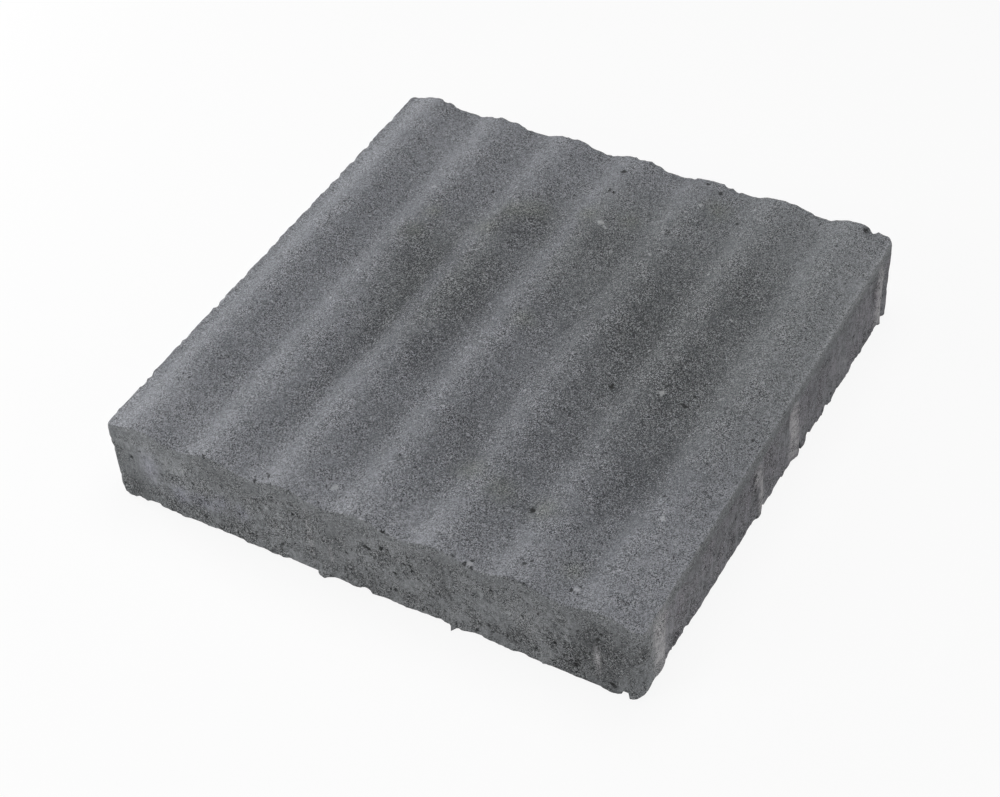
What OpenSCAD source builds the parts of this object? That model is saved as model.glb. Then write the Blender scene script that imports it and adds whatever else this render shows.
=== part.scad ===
// Corrugated guidance paving slab. It is one block of pressed concrete: long rounded
// ribs on the walking face, spacer nibs on its four sides and a flat bed face.
// Millimetres. The origin is the middle of the bed face, +Z points out of the ribbed
// face and the ribs run along Y.

/* [Slab] */
// Length of the slab along its ribs
slab_length = 350; // [250:10:600]
// Thickness halfway between the crests and the valleys
slab_thickness = 60; // [50:1:120]
// Radius of the four upright corners
corner_radius = 4; // [3:0.5:12]

/* [Ribs] */
// Number of ribs side by side across the slab
rib_count = 7; // [4:1:12]
// Distance from one crest to the next
rib_pitch = 50; // [40:1:75]
// Height of a crest above the valleys beside it
rib_height = 4.5; // [3:0.5:8]
// Width of the level strip along the top of a crest
crest_flat = 5; // [2.5:0.5:8]
// Width of the level strip along the bottom of a valley
valley_flat = 5; // [2.5:0.5:8]

/* [Edges] */
// Width of the worn bevel along the top edges
arris_width = 1.5; // [0.5:0.25:2.5]

/* [Spacer nibs] */
// Width of a nib where it meets the side
nib_width = 12; // [8:1:20]
// How far a nib stands out from the side
nib_proud = 1.5; // [1:0.25:3]
// Height from the bed face to where a nib starts to run out
nib_height = 42; // [20:1:44]
// Height over which a nib runs out to nothing at its top
nib_runout = 8; // [4:1:10]
// Distance of the inner nibs from the middle of a side
nib_from_middle = 27; // [16:1:40]
// Distance of the outer nibs from the end of a side
nib_from_corner = 20; // [18:1:30]

/* [Broken corner] */
// Height to which the front right bottom corner is broken away
break_height = 9.5; // [4:0.5:16]
// Length of the break along the right side
break_along_side = 210; // [100:5:230]
// Length of the break along the front side
break_along_front = 7; // [5:0.5:20]

/* [Hidden] */

// The ribs fill the width from side to side, with a valley at each side.
slab_width = rib_count * rib_pitch;
valley_height = slab_thickness - rib_height / 2;
crest_height = slab_thickness + rib_height / 2;
flank_width = (rib_pitch - crest_flat - valley_flat) / 2;

// Each rib is drawn with this many straight steps.
steps_per_rib = 20;
arris_slope = 45;
corner_bevels = [22.5, 45, 67.5];

// A nib is part of an upright cylinder that lies mostly inside the slab.
nib_radius = (pow(nib_width / 2, 2) + pow(nib_proud, 2)) / (2 * nib_proud);
nib_axis_inset = nib_radius - nib_proud;
// The run-out goes on this far under the surface, so that it ends in the slab.
nib_overrun = 1;

// Tools that cut right through reach this far past the slab.
reach = slab_width + slab_length;

$fn = 64;

// Distance across the ribs from x to the nearest valley, x measured from the middle.
function from_valley(x) =
    abs(x + slab_width / 2 - rib_pitch * round((x + slab_width / 2) / rib_pitch));

// Height of the walking face. The flanks are S-curves between the level strips.
function face_height(x) =
    valley_height
    + rib_height * (1 - cos(180 * min(max((from_valley(x) - valley_flat / 2) / flank_width, 0), 1))) / 2;

// Places across the ribs at which the walking face is worked out, from right to left.
// The two ends stand in from the sides by the bevel.
face_places = [
    slab_width / 2 - arris_width,
    for (i = [rib_count * steps_per_rib - 1 : -1 : 1])
        i * rib_pitch / steps_per_rib - slab_width / 2,
    arris_width - slab_width / 2
];

// A prism along Y with the section of the ribbed slab, bevelled along both sides.
module ribbed_prism() {
    side_height = face_height(slab_width / 2) - arris_width;
    rotate([90, 0, 0])
        linear_extrude(height = slab_length, center = true)
            polygon([
                [-slab_width / 2, 0],
                [slab_width / 2, 0],
                [slab_width / 2, side_height],
                for (x = face_places) [x, face_height(x)],
                [-slab_width / 2, side_height]
            ]);
}

// Everything below the bevel of the front edge. It is the same ribbed section run
// along a slope, so the bevel follows the ribs up and down. The back uses its mirror.
module under_front_bevel() {
    bevel_start = arris_width - slab_length / 2;
    rotate([arris_slope, 0, 0])
        rotate([90, 0, 0])
            linear_extrude(height = 2 * reach, center = true)
                polygon([
                    [-slab_width, -reach],
                    [slab_width, -reach],
                    [slab_width, cos(arris_slope) * (valley_height - tan(arris_slope) * bevel_start)],
                    for (x = face_places)
                        [x, cos(arris_slope) * (face_height(x) - tan(arris_slope) * bevel_start)],
                    [-slab_width, cos(arris_slope) * (valley_height - tan(arris_slope) * bevel_start)]
                ]);
}

// The outline seen from above, with its four round corners.
module plan_outline() {
    square([slab_width, slab_length - 2 * corner_radius], center = true);
    square([slab_width - 2 * corner_radius, slab_length], center = true);
    for (sx = [-1, 1], sy = [-1, 1])
        translate([sx * (slab_width / 2 - corner_radius), sy * (slab_length / 2 - corner_radius)])
            circle(r = corner_radius);
}

// What is cut off above the bevel of one round corner, turned by an angle in plan.
module corner_bevel_cut(angle) {
    to_corner = (slab_width / 2 - corner_radius) * cos(angle)
        + (slab_length / 2 - corner_radius) * sin(angle) + corner_radius;
    rotate([0, 0, angle])
        translate([to_corner - arris_width, 0, valley_height])
            rotate([0, arris_slope, 0])
                translate([-reach / 2, -reach / 2, 0])
                    cube([reach, reach, reach]);
}

// The plain block: ribbed face, bevelled top edges, round corners.
module block() {
    difference() {
        intersection() {
            ribbed_prism();
            translate([0, 0, -1])
                linear_extrude(height = crest_height + 2)
                    plan_outline();
            under_front_bevel();
            mirror([0, 1, 0]) under_front_bevel();
        }
        for (mx = [0, 1], my = [0, 1], angle = corner_bevels)
            mirror([mx, 0, 0]) mirror([0, my, 0]) corner_bevel_cut(angle);
    }
}

// One spacer nib on the side that faces -Y, with its base at the origin.
module nib() {
    overrun_share = nib_overrun / nib_proud;
    translate([0, nib_axis_inset, 0]) {
        cylinder(r = nib_radius, h = nib_height);
        translate([0, 0, nib_height])
            cylinder(r1 = nib_radius, r2 = nib_axis_inset - nib_overrun,
                h = nib_runout * (1 + overrun_share));
    }
}

// The four nibs of one side, where half is half the side's length.
module nib_row(half) {
    for (side = [-1, 1], place = [nib_from_middle, half - nib_from_corner])
        translate([side * place, 0, 0]) nib();
}

module nibs() {
    for (turn = [0, 180]) {
        rotate([0, 0, turn])
            translate([0, -slab_length / 2, 0]) nib_row(slab_width / 2);
        rotate([0, 0, turn + 90])
            translate([0, -slab_width / 2, 0]) nib_row(slab_length / 2);
    }
}

// The piece that is missing at the front right bottom corner: a long flat wedge under
// a sloping plane that meets the two sides and the bed face.
module broken_corner() {
    turn = atan2(break_along_front, break_along_side);
    across = break_along_front * cos(turn);
    tilt = atan2(break_height, across);
    translate([slab_width / 2, -slab_length / 2, break_height])
        rotate([0, 0, 180 - turn])
            rotate([0, tilt, 0])
                translate([-reach, -reach, -reach])
                    cube([2 * reach, 2 * reach, reach]);
}

module slab() {
    color("dimgray")
        difference() {
            union() {
                block();
                nibs();
            }
            broken_corner();
        }
}

slab();
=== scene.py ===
# %% [markdown]
# # A ribbed paving slab of pressed concrete
# The real object is one block, 350 mm square and about 60 mm thick. Slabs like it are
# pressed face up in a steel mould: coarse concrete goes in first, then a thin facing of
# fine concrete, and a ribbed stamp presses both together. The mould is pulled off
# upwards, which leaves upright streaks on the sides. This lesson takes the plain solid
# of the slab and gives it the worn edges, the pitted sides and the sandy skin.

# %% Load the plain slab
import math
import bpy
import numpy as np
from mathutils import Matrix, Vector


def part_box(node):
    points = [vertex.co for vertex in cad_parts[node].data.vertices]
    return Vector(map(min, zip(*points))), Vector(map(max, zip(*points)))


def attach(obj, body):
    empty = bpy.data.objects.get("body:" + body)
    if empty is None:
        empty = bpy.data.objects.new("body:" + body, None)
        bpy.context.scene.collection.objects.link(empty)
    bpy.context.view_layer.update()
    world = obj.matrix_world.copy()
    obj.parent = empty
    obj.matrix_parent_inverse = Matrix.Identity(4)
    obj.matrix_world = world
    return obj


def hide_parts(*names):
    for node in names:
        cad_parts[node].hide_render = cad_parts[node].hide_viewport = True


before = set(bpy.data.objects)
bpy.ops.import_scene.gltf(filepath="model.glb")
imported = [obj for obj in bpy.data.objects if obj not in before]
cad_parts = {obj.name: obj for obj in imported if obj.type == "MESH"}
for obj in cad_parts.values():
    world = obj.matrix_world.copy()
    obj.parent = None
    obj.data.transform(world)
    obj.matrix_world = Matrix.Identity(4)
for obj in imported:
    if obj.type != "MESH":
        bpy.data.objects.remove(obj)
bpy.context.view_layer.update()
MM = 0.001
low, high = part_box("slab")
print("plain slab in mm:", [round(v / MM, 1) for v in high - low])

# %% [markdown]
# ## The view
# The slab is seen from above one corner, at 45 degrees, with a portrait lens from a
# little over a metre. The camera could be aimed with a constraint, but a matrix built
# from its own right, up and back directions shows plainly where it looks.

# %% Camera
turn, climb, lean = (math.radians(a) for a in (32.32, 44.86, -4.35))
distance = 1.256
lens = 72.7
aim_right, aim_up = -0.0101, -0.0017

back = Vector((math.sin(turn) * math.cos(climb), -math.cos(turn) * math.cos(climb), math.sin(climb)))
level = Vector((0, 0, 1)).cross(back).normalized()
upright = back.cross(level)
right = level * math.cos(lean) + upright * math.sin(lean)
up = upright * math.cos(lean) - level * math.sin(lean)

camera = bpy.data.objects.new("camera", bpy.data.cameras.new("camera"))
camera.data.lens = lens
camera.data.sensor_width = 36
camera.matrix_world = Matrix.Translation(right * aim_right + up * aim_up + back * distance) @ (
    Matrix((right, up, back)).transposed().to_4x4()
)
bpy.context.scene.collection.objects.link(camera)
bpy.context.scene.camera = camera
print("camera at", [round(v, 3) for v in camera.matrix_world.translation])

# %% [markdown]
# ## Two helpers for materials
# Paint charts and screens give colours as sRGB hex values, but Blender mixes light in
# linear values, so one function turns the first into the second. The other adds a node,
# sets its options, and fills or links its inputs, which keeps each material readable.

# %% Helpers
def linear(hex_colour):
    """Turns a colour such as 8A8C8E into the linear values that Blender wants."""
    values = [int(hex_colour[i:i + 2], 16) / 255 for i in (0, 2, 4)]
    return tuple(v / 12.92 if v <= 0.04045 else ((v + 0.055) / 1.055) ** 2.4 for v in values) + (1,)


def add_node(tree, kind, inputs=None, **options):
    """Adds a node with its options. An input is a value, or an output to link to it."""
    node = tree.nodes.new(kind)
    for name, value in options.items():
        setattr(node, name, value)
    for name, value in (inputs or {}).items():
        if isinstance(value, bpy.types.NodeSocket):
            tree.links.new(value, node.inputs[name])
        else:
            node.inputs[name].default_value = value
    return node


def new_material(name):
    """An empty node material and its output node."""
    material = bpy.data.materials.new(name)
    material.use_nodes = True
    material.node_tree.nodes.clear()
    return material, add_node(material.node_tree, "ShaderNodeOutputMaterial")


print("grey card:", [round(v, 3) for v in linear("767676")])

# %% [markdown]
# ## Light
# A product table has a white sweep and large soft lamps. The main one hangs overhead.
# One stands low on the left, so that it rakes across the ribs: each crest keeps its
# light out of the valley behind it, and only the next left flank catches it. Two more,
# at the front and on the right, open up the sides. One sun lamp would be simpler, but
# would leave the sides that face away from it dark.

# %% Light
def soft_lamp(name, azimuth, elevation, far, across, power, colour):
    """A square lamp that faces the slab. Azimuth 0 is behind it, counted clockwise."""
    lamp = bpy.data.lights.new(name, "AREA")
    lamp.size = across
    lamp.energy = power
    lamp.color = linear(colour)[:3]
    piece = bpy.data.objects.new(name, lamp)
    a, e = math.radians(azimuth), math.radians(elevation)
    toward = Vector((math.sin(a) * math.cos(e), math.cos(a) * math.cos(e), math.sin(e)))
    piece.location = toward * far
    piece.rotation_euler = toward.to_track_quat("Z", "Y").to_euler()
    bpy.context.scene.collection.objects.link(piece)


soft_lamp("low_left", azimuth=-88, elevation=9, far=1.2, across=0.35, power=11.3, colour="FFFFFF")
soft_lamp("overhead", azimuth=0, elevation=80, far=1.2, across=0.8, power=7.4, colour="FFFFFF")
soft_lamp("front_left", azimuth=-150, elevation=25, far=1.2, across=0.7, power=5.5, colour="FFFFFF")
soft_lamp("right", azimuth=105, elevation=25, far=1.2, across=0.7, power=3.3, colour="FFFFFF")

room = bpy.data.worlds.new("pale_room")
room.use_nodes = True
room.node_tree.nodes.clear()
ray = add_node(room.node_tree, "ShaderNodeLightPath")
seen = add_node(room.node_tree, "ShaderNodeMath",
                {0: ray.outputs["Is Camera Ray"], 1: ray.outputs["Is Glossy Ray"]},
                operation="MAXIMUM")
seen_or_through = add_node(room.node_tree, "ShaderNodeMath",
                           {0: seen.outputs[0], 1: ray.outputs["Is Transmission Ray"]},
                           operation="MAXIMUM")
room_light, room_seen = (
    add_node(room.node_tree, "ShaderNodeBackground", {"Color": linear("FFFFFF"), "Strength": strength})
    for strength in (0.02, 1.0))
room_mix = add_node(room.node_tree, "ShaderNodeMixShader", {
    0: seen_or_through.outputs[0], 1: room_light.outputs[0], 2: room_seen.outputs[0]})
add_node(room.node_tree, "ShaderNodeOutputWorld", {"Surface": room_mix.outputs[0]})
bpy.context.scene.world = room
bpy.context.scene.view_settings.view_transform = "Standard"

# %% [markdown]
# ## The floor
# The floor is matt white. What the camera sees of it is lifted most of the way to white,
# but the light that it gives to the slab is that of plain matt paint, and it still takes
# the slab's shadow. More lamps could make it white too, but would bleach the concrete.

# %% Floor
def floor_paint():
    """Matt white paint that the camera sees as nearly white."""
    material, output = new_material("matt_white_floor_paint")
    tree = material.node_tree
    ray = add_node(tree, "ShaderNodeLightPath")
    paint = add_node(tree, "ShaderNodeBsdfDiffuse", {"Color": linear("F0F0F0")})
    glow = add_node(tree, "ShaderNodeEmission", {"Color": linear("FFFFFF"), "Strength": 1.0})
    lift = add_node(tree, "ShaderNodeMath", {0: ray.outputs["Is Camera Ray"], 1: 0.9},
                    operation="MULTIPLY")
    mix = add_node(tree, "ShaderNodeMixShader", {
        0: lift.outputs[0], 1: paint.outputs[0], 2: glow.outputs[0]})
    tree.links.new(mix.outputs[0], output.inputs["Surface"])
    return material


floor_mesh = bpy.data.meshes.new("floor")
reach = 6.0
floor_mesh.from_pydata([(-reach, -reach, 0), (reach, -reach, 0), (reach, reach, 0), (-reach, reach, 0)],
                       [], [(0, 1, 2, 3)])
floor_mesh.materials.append(floor_paint())
floor = bpy.data.objects.new("floor", floor_mesh)
floor.location.z = -0.2 * MM
bpy.context.scene.collection.objects.link(floor)
print("floor:", 2 * reach, "m across")

# %% [markdown]
# ## The slab's own sizes
# The mesh has to follow the solid exactly, so it starts from the same sizes. Half the
# side comes from the solid's box less the nibs. The rest are those of the solid, but for
# two: the round arris, where the solid has a wider bevel, and the depth of the facing.

# %% Sizes in millimetres
NIB_PROUD = 1.5
HALF = (high.x - low.x) / MM / 2 - NIB_PROUD
RIB_PITCH = 2 * HALF / 7
RIB_HEIGHT = 4.5
CREST_FLAT = 5.0
VALLEY_FLAT = 5.0
VALLEY = high.z / MM - RIB_HEIGHT
CORNER = 4.0
ARRIS = 0.8
NIB_WIDTH = 12.0
NIB_HEIGHT = 42.0
NIB_RUNOUT = 8.0
NIB_PLACES = (-HALF + 20, -27, 27, HALF - 20)
FACING = 9.0
print("half side", round(HALF, 2), "valley", round(VALLEY, 2), "pitch", round(RIB_PITCH, 2))

# %% [markdown]
# ## Noise from a lattice
# Concrete is random, but not evenly so: it has slow swells, lumps of a few millimetres
# and single grains. Each is smooth noise at one size. Random numbers sit on a lattice of
# that size and are blended between its corners. Blender's own noise takes one point at a
# time, and this version in numpy takes all hundred thousand at once.

# %% Lattice noise
def lattice_noise(points, size, seed):
    """Smooth noise from -1 to 1. Size is the lattice's spacing, one number or three."""
    numbers = np.random.default_rng(seed).uniform(-1, 1, 4096)
    scaled = points / np.array(size, float)
    cell = np.floor(scaled).astype(np.int64)
    part = scaled - cell
    part = part * part * (3 - 2 * part)
    total = np.zeros(len(points))
    for corner in np.ndindex(2, 2, 2):
        key = (cell + corner) * (73856093, 19349663, 83492791)
        weight = np.where(corner, part, 1 - part).prod(axis=1)
        total += numbers[(key[:, 0] ^ key[:, 1] ^ key[:, 2]) % 4096] * weight
    return total


def noise_sum(points, *waves):
    """Lattice noises added up. Each wave is its height, its size and its seed."""
    return sum(height * lattice_noise(points, size, seed) for height, size, seed in waves)


def ramp(values, start, end):
    """0 before start, 1 after end and a smooth S between."""
    t = np.clip((values - start) / (end - start), 0, 1)
    return t * t * (3 - 2 * t)


sample = lattice_noise(np.random.default_rng(1).uniform(-50, 50, (5000, 3)), 7, 2)
print("noise runs from", sample.min().round(2), "to", sample.max().round(2))

# %% [markdown]
# ## The grid of the walking face
# The skin could be the solid's own mesh cut finer, but its long thin triangles take
# displacement badly. A fresh grid of even squares is better. Its lines stand about
# 1.5 mm apart, and close up at the rim, where the arris curves over. The square's four
# corners are pulled in to quarter circles.

# %% Walking face
CELLS = 232


def grid_lines():
    """Places of the grid's lines from side to side, closer at the rim."""
    rim = [ARRIS * (1 - math.sin(math.radians(a))) for a in (90, 67.5, 45, 22.5, 0)]
    rim += [ARRIS + 0.8]
    middle = np.linspace(ARRIS + 1.8, 2 * HALF - ARRIS - 1.8, CELLS + 1 - 2 * len(rim))
    return np.concatenate([rim, middle, [2 * HALF - d for d in reversed(rim)]]) - HALF


def rounded(x, y):
    """Moves points of the square so that its corners become quarter circles."""
    inner = HALF - CORNER
    a, b = np.maximum(np.abs(x) - inner, 0), np.maximum(np.abs(y) - inner, 0)
    pull = np.maximum(a, b) / np.maximum(np.hypot(a, b), 1e-9)
    pull = np.where(np.minimum(a, b) > 0, pull, 1)
    new_x = np.sign(x) * (np.minimum(np.abs(x), inner) + a * pull)
    new_y = np.sign(y) * (np.minimum(np.abs(y), inner) + b * pull)
    return new_x, new_y


def face_height(x):
    """Height of the ribbed face: S-curves between level strips on crests and in valleys."""
    from_valley = np.abs((x + HALF + RIB_PITCH / 2) % RIB_PITCH - RIB_PITCH / 2)
    flank = (RIB_PITCH - CREST_FLAT - VALLEY_FLAT) / 2
    climbed = np.clip((from_valley - VALLEY_FLAT / 2) / flank, 0, 1)
    return VALLEY + RIB_HEIGHT * (1 - np.cos(math.pi * climbed)) / 2


def worn_drop(depth):
    """How far the round arris lies below the face, at a depth in from the side."""
    d = np.minimum(depth, ARRIS)
    return ARRIS - np.sqrt(ARRIS ** 2 - (ARRIS - d) ** 2)


# Along the back edge the ribs are dented and heaped: x, half width, rise.
BACK_WAVES = [(-138, 9, -0.9), (-97, 6, -1.2), (12, 8, 1.2), (42, 15, -1.6), (68, 8, 1.3),
              (114, 9, 1.3), (161, 3, -2.2), (169, 5, 1.2)]


def back_wave(x, y):
    """Rise of the face near the back edge."""
    rise = sum(height * np.exp(-((x - place) / wide) ** 2) for place, wide, height in BACK_WAVES)
    return rise * ramp(y, HALF - 12, HALF - 2)


lines = grid_lines()
square_x, square_y = np.meshgrid(lines, lines)
face_x, face_y = rounded(square_x, square_y)
rim_depth = HALF - np.maximum(np.abs(square_x), np.abs(square_y))
face_z = face_height(face_x) + back_wave(face_x, face_y) - worn_drop(rim_depth)
print("walking face:", face_x.shape, "points,", round(float(np.diff(lines).max()), 2), "mm apart")

# %% [markdown]
# ## Down the sides
# The rim of the face is one closed loop of points. Each side row is a copy of that loop,
# lower down. The spacer nibs are slices of upright cylinders that swell out of the sides
# and run out to nothing below the walking face. Some are worn to less than half, as
# happens when slabs are stacked and slid.

# %% Sides
ROWS = 39
rim_index = np.arange((CELLS + 1) ** 2).reshape(CELLS + 1, CELLS + 1)
loop = np.concatenate([rim_index[0, :-1], rim_index[:-1, -1], rim_index[-1, :0:-1], rim_index[:0:-1, 0]])
loop_x, loop_y, loop_z = (v.ravel()[loop] for v in (face_x, face_y, face_z))

out_x = np.sign(loop_x) * np.maximum(np.abs(loop_x) - (HALF - CORNER), 0)
out_y = np.sign(loop_y) * np.maximum(np.abs(loop_y) - (HALF - CORNER), 0)
out_length = np.hypot(out_x, out_y)
out_x, out_y = out_x / out_length, out_y / out_length

# How much is left of each nib, for the sides that face -Y, +X, +Y and -X.
NIB_LEFT = {
    "front": (0.4, 1.0, 0.3, 0.6),
    "right": (1.0, 0.9, 1.0, 1.0),
    "back": (0.8, 1.0, 0.6, 0.9),
    "left": (0.9, 0.5, 1.0, 0.8),
}


def nib_share(x, y, z):
    """How far a nib swells at a point of the sides, from 0 to 1."""
    radius = ((NIB_WIDTH / 2) ** 2 + NIB_PROUD ** 2) / (2 * NIB_PROUD)
    sides = {
        "front": (x, y < -HALF + CORNER / 2), "back": (x, y > HALF - CORNER / 2),
        "right": (y, x > HALF - CORNER / 2), "left": (y, x < -HALF + CORNER / 2),
    }
    share = np.zeros(len(x))
    for side, (along, on_side) in sides.items():
        for place, left in zip(NIB_PLACES, NIB_LEFT[side]):
            bow = np.sqrt(np.maximum(radius ** 2 - (along - place) ** 2, 0)) - (radius - NIB_PROUD)
            share += np.where(on_side, np.maximum(bow, 0) / NIB_PROUD * left, 0)
    return share * (1 - ramp(z, NIB_HEIGHT, NIB_HEIGHT + NIB_RUNOUT))


print("rim loop:", len(loop), "points,", ROWS, "rows down the sides")

# %% [markdown]
# ## The bed face and its broken edge
# The underside lay on a board when the mould came off, and its edge is ragged. A long
# sliver is broken out under the right side. A broken edge is a height: how far the bed
# face lies above the floor at each place. Near the edge it is the larger of the sliver's
# sloping plane and a ragged lift that differs from place to place along the edge.

# %% Bed face
BREAK_HEIGHT, BREAK_ALONG_SIDE, BREAK_ALONG_FRONT = 9.5, 210.0, 7.0

# Single chips in the bottom edge: x, y, how high they reach and how long they are.
EDGE_CHIPS = [
    (-160, -HALF, 1.6, 10), (-152, -HALF, 2.2, 5), (-103, -HALF, 1.4, 7), (-52, -HALF, 1.5, 8),
    (-1, -HALF, 2.6, 8), (49, -HALF, 1.9, 8), (73, -HALF, 2.0, 13), (101, -HALF, 1.9, 9),
    (164.5, -HALF, 4.2, 7), (-HALF, -HALF, 5.0, 9), (-147, -HALF, 2.6, 6),
    (HALF, -144, 9.6, 9), (HALF, -133, 8.6, 8), (HALF, -50, 3.6, 16), (HALF, -40, 5.2, 10),
    (HALF, -33, 4.6, 10), (HALF, -16, 4.4, 18), (HALF, 0, 4.6, 20), (HALF, 20, 3.4, 20),
    (HALF, 46, 5.0, 7), (HALF, 55, 2.8, 12), (HALF, 73, 3.8, 8), (HALF, 91, 2.2, 8),
    (HALF, 118, 2.0, 12), (HALF, 153, 4.0, 8), (HALF, 161, 5.0, 9), (HALF, 174, 5.6, 9),
    (HALF, 32.5, 8.0, 7), (HALF, 12, 4.4, 7), (HALF, -21.5, 8.0, 7),
    (-HALF, -120, 2.4, 9), (-HALF, -31, 3.1, 7), (-HALF, 64, 2.2, 12), (-HALF, 140, 2.9, 8),
    (-130, HALF, 2.4, 8), (-66, HALF, 2.0, 12), (12, HALF, 3.2, 7), (97, HALF, 2.1, 10),
    (151, HALF, 2.7, 6),
]


def edge_lift(x, y):
    """How far the ragged bottom edge is lifted off the floor, for points on the edge."""
    points = np.stack([x, y, 0 * x], axis=1)
    lift = 0.1 + 0.5 * lattice_noise(points, 11, 21) + 0.7 * lattice_noise(points, 4, 22)
    lift += 1.0 * lattice_noise(points, 2.0, 25) * (x < HALF - 1)
    for chip_x, chip_y, height, length in EDGE_CHIPS:
        away = np.hypot(x - chip_x, y - chip_y) / (length / 2)
        lift = np.maximum(lift, height * np.clip(1.4 * (1 - away ** 2), 0, 1))
    return np.clip(lift, 0, None)


def sliver(x, y):
    """Height of the broken plane under the right side, less than 0 where nothing broke."""
    inward = (HALF - x) / BREAK_ALONG_FRONT
    along = (y + HALF) / BREAK_ALONG_SIDE
    lump_left_at_corner = 2.5 * np.exp(-((x - HALF) ** 2 + (y + HALF) ** 2) / 6 ** 2)
    return BREAK_HEIGHT * (1 - inward - along) - lump_left_at_corner


loop_lift = edge_lift(loop_x, loop_y)
print("edge lift: mean", loop_lift.mean().round(2), "most", loop_lift.max().round(2), "mm")


def bed_height(x, y, lift, inset):
    """Height of the bed face at an inset from the edge that has this lift."""
    points = np.stack([x, y, 0 * x], axis=1)
    rough = noise_sum(points, (0.5, 5, 23), (0.4, 2.5, 24))
    broken = sliver(x, y)
    broken = broken + rough * ramp(broken, 0, 1.5)
    ragged = lift * np.clip(1 - inset / (1.5 + 1.5 * lift), 0, 1)
    return np.maximum(np.maximum(broken, ragged), 0)


# %% [markdown]
# ## One skin from rim to bed
# The rows down the sides carry on inwards under the slab as smaller and smaller loops.
# Separate meshes for face, sides and bed would be easier to make, but would crack open
# along their seams as soon as the surface is roughened.

# %% Rows of points from the rim down and in under the slab
points = [np.stack([face_x.ravel(), face_y.ravel(), face_z.ravel()], axis=1)]
loops = [loop]


def add_points(x, y, z):
    """Adds points to the skin and returns their numbers."""
    first = sum(len(p) for p in points)
    points.append(np.stack([x, y, z], axis=1))
    return first + np.arange(len(x))


bottom = bed_height(loop_x, loop_y, loop_lift, 0)
for row in range(1, ROWS + 1):
    z = loop_z + (bottom - loop_z) * row / ROWS
    swell = NIB_PROUD * nib_share(loop_x, loop_y, z)
    loops.append(add_points(loop_x + out_x * swell, loop_y + out_y * swell, z))

# How far in from the edge the loops under the slab lie.
for inset in (1.2, 3.0, 6.0, 10.0):
    shrink = 1 - inset / HALF
    x, y = loop_x * shrink, loop_y * shrink
    loops.append(add_points(x, y, bed_height(x, y, loop_lift, inset)))
print("loops of points:", len(loops))

# %% [markdown]
# ## The middle of the bed face
# The rest of the bed face is nearly flat, so it takes a grid four times as coarse. Each
# coarse step is joined to four fine ones by a fan of triangles.

# %% Coarse middle of the bed face
STEP = 4
COARSE_INSET = 14
coarse_lines = lines[::STEP] * (1 - COARSE_INSET / HALF)
coarse_x, coarse_y = rounded(*np.meshgrid(coarse_lines, coarse_lines))
coarse_z = np.maximum(sliver(coarse_x, coarse_y), 0)
coarse_index = add_points(coarse_x.ravel(), coarse_y.ravel(), coarse_z.ravel()).reshape(coarse_x.shape)
coarse_loop = np.concatenate([coarse_index[0, :-1], coarse_index[:-1, -1],
                              coarse_index[-1, :0:-1], coarse_index[:0:-1, 0]])


def grid_faces(index, flip):
    """The squares of a grid of point numbers."""
    corners = [index[:-1, :-1], index[:-1, 1:], index[1:, 1:], index[1:, :-1]]
    faces = np.stack([c.ravel() for c in corners], axis=1)
    return faces[:, ::-1].tolist() if flip else faces.tolist()


faces = grid_faces(rim_index, False)
for upper, lower in zip(loops[:-1], loops[1:]):
    faces += np.stack([upper, lower, np.roll(lower, -1), np.roll(upper, -1)], axis=1).tolist()

fine = loops[-1]
for k, inner in enumerate(coarse_loop):
    outer = [fine[(STEP * k + i) % len(fine)] for i in range(STEP + 1)]
    next_inner = coarse_loop[(k + 1) % len(coarse_loop)]
    faces += [(outer[0], inner, outer[1]), (outer[1], inner, outer[2]), (inner, next_inner, outer[2]),
              (outer[2], next_inner, outer[3]), (outer[3], next_inner, outer[4])]
faces += grid_faces(coarse_index, True)

skin = bpy.data.meshes.new("concrete_slab")
plain_points = np.concatenate(points)
skin.from_pydata((plain_points * MM).tolist(), [], faces)
skin.update()
triangles = sum(len(f) - 2 for f in faces)
print("skin:", len(plain_points), "points,", triangles, "triangles")

# %% [markdown]
# ## Wear and roughness
# Every point above the bed will move along its own normal by the sum of several kinds of
# noise. A displacement modifier could do that too, but here the kind of noise differs
# from place to place: face, arris, facing and body each wear in their own way. So the
# first thing to work out is where each point lies, as shares from 0 to 1.

# %% Where each point lies
count = len(plain_points)
normals = np.empty(count * 3, np.float32)
skin.vertex_normals.foreach_get("vector", normals)
normals = normals.reshape(-1, 3).astype(float)
px, py, pz = plain_points.T
side_depth = HALF - np.maximum(np.abs(px), np.abs(py))
under_face = face_height(px) + back_wave(px, py) - pz
on_face = ramp(normals[:, 2], 0.55, 0.9)
on_bed = ramp(-normals[:, 2], 0.3, 0.8)
on_side = np.clip(1 - on_face - on_bed, 0, 1)
arris_near = np.exp(-((np.maximum(side_depth, 0) + np.maximum(under_face, 0)) / 2.6) ** 2)
in_body = ramp(under_face + 1.5 * lattice_noise(plain_points, 9, 31), FACING - 2, FACING + 2) * on_side


def spot(x, y, wide, z=0.0, tall=math.inf):
    """A soft round spot at every point: 1 in its middle, and fading with the distance."""
    return np.exp(-((px - x) ** 2 + (py - y) ** 2) / wide ** 2 - ((pz - z) / tall) ** 2)


def dents(places, radii, depths):
    """Depth of a set of round dents at every point."""
    total = np.zeros(count)
    for place, radius, depth in zip(places, radii, depths):
        away = np.linalg.norm(plain_points - place, axis=1) / radius
        total = np.maximum(total, depth * np.clip(1 - away ** 2, 0, 1))
    return total


# %% [markdown]
# ## Crumbs and pits
# The arris has lost crumbs, and the sides have pits where the coarse concrete was short
# of cement. Both are round dents at random places along the rim's loop, the crumbs on
# the arris itself and the pits below it.

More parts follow.
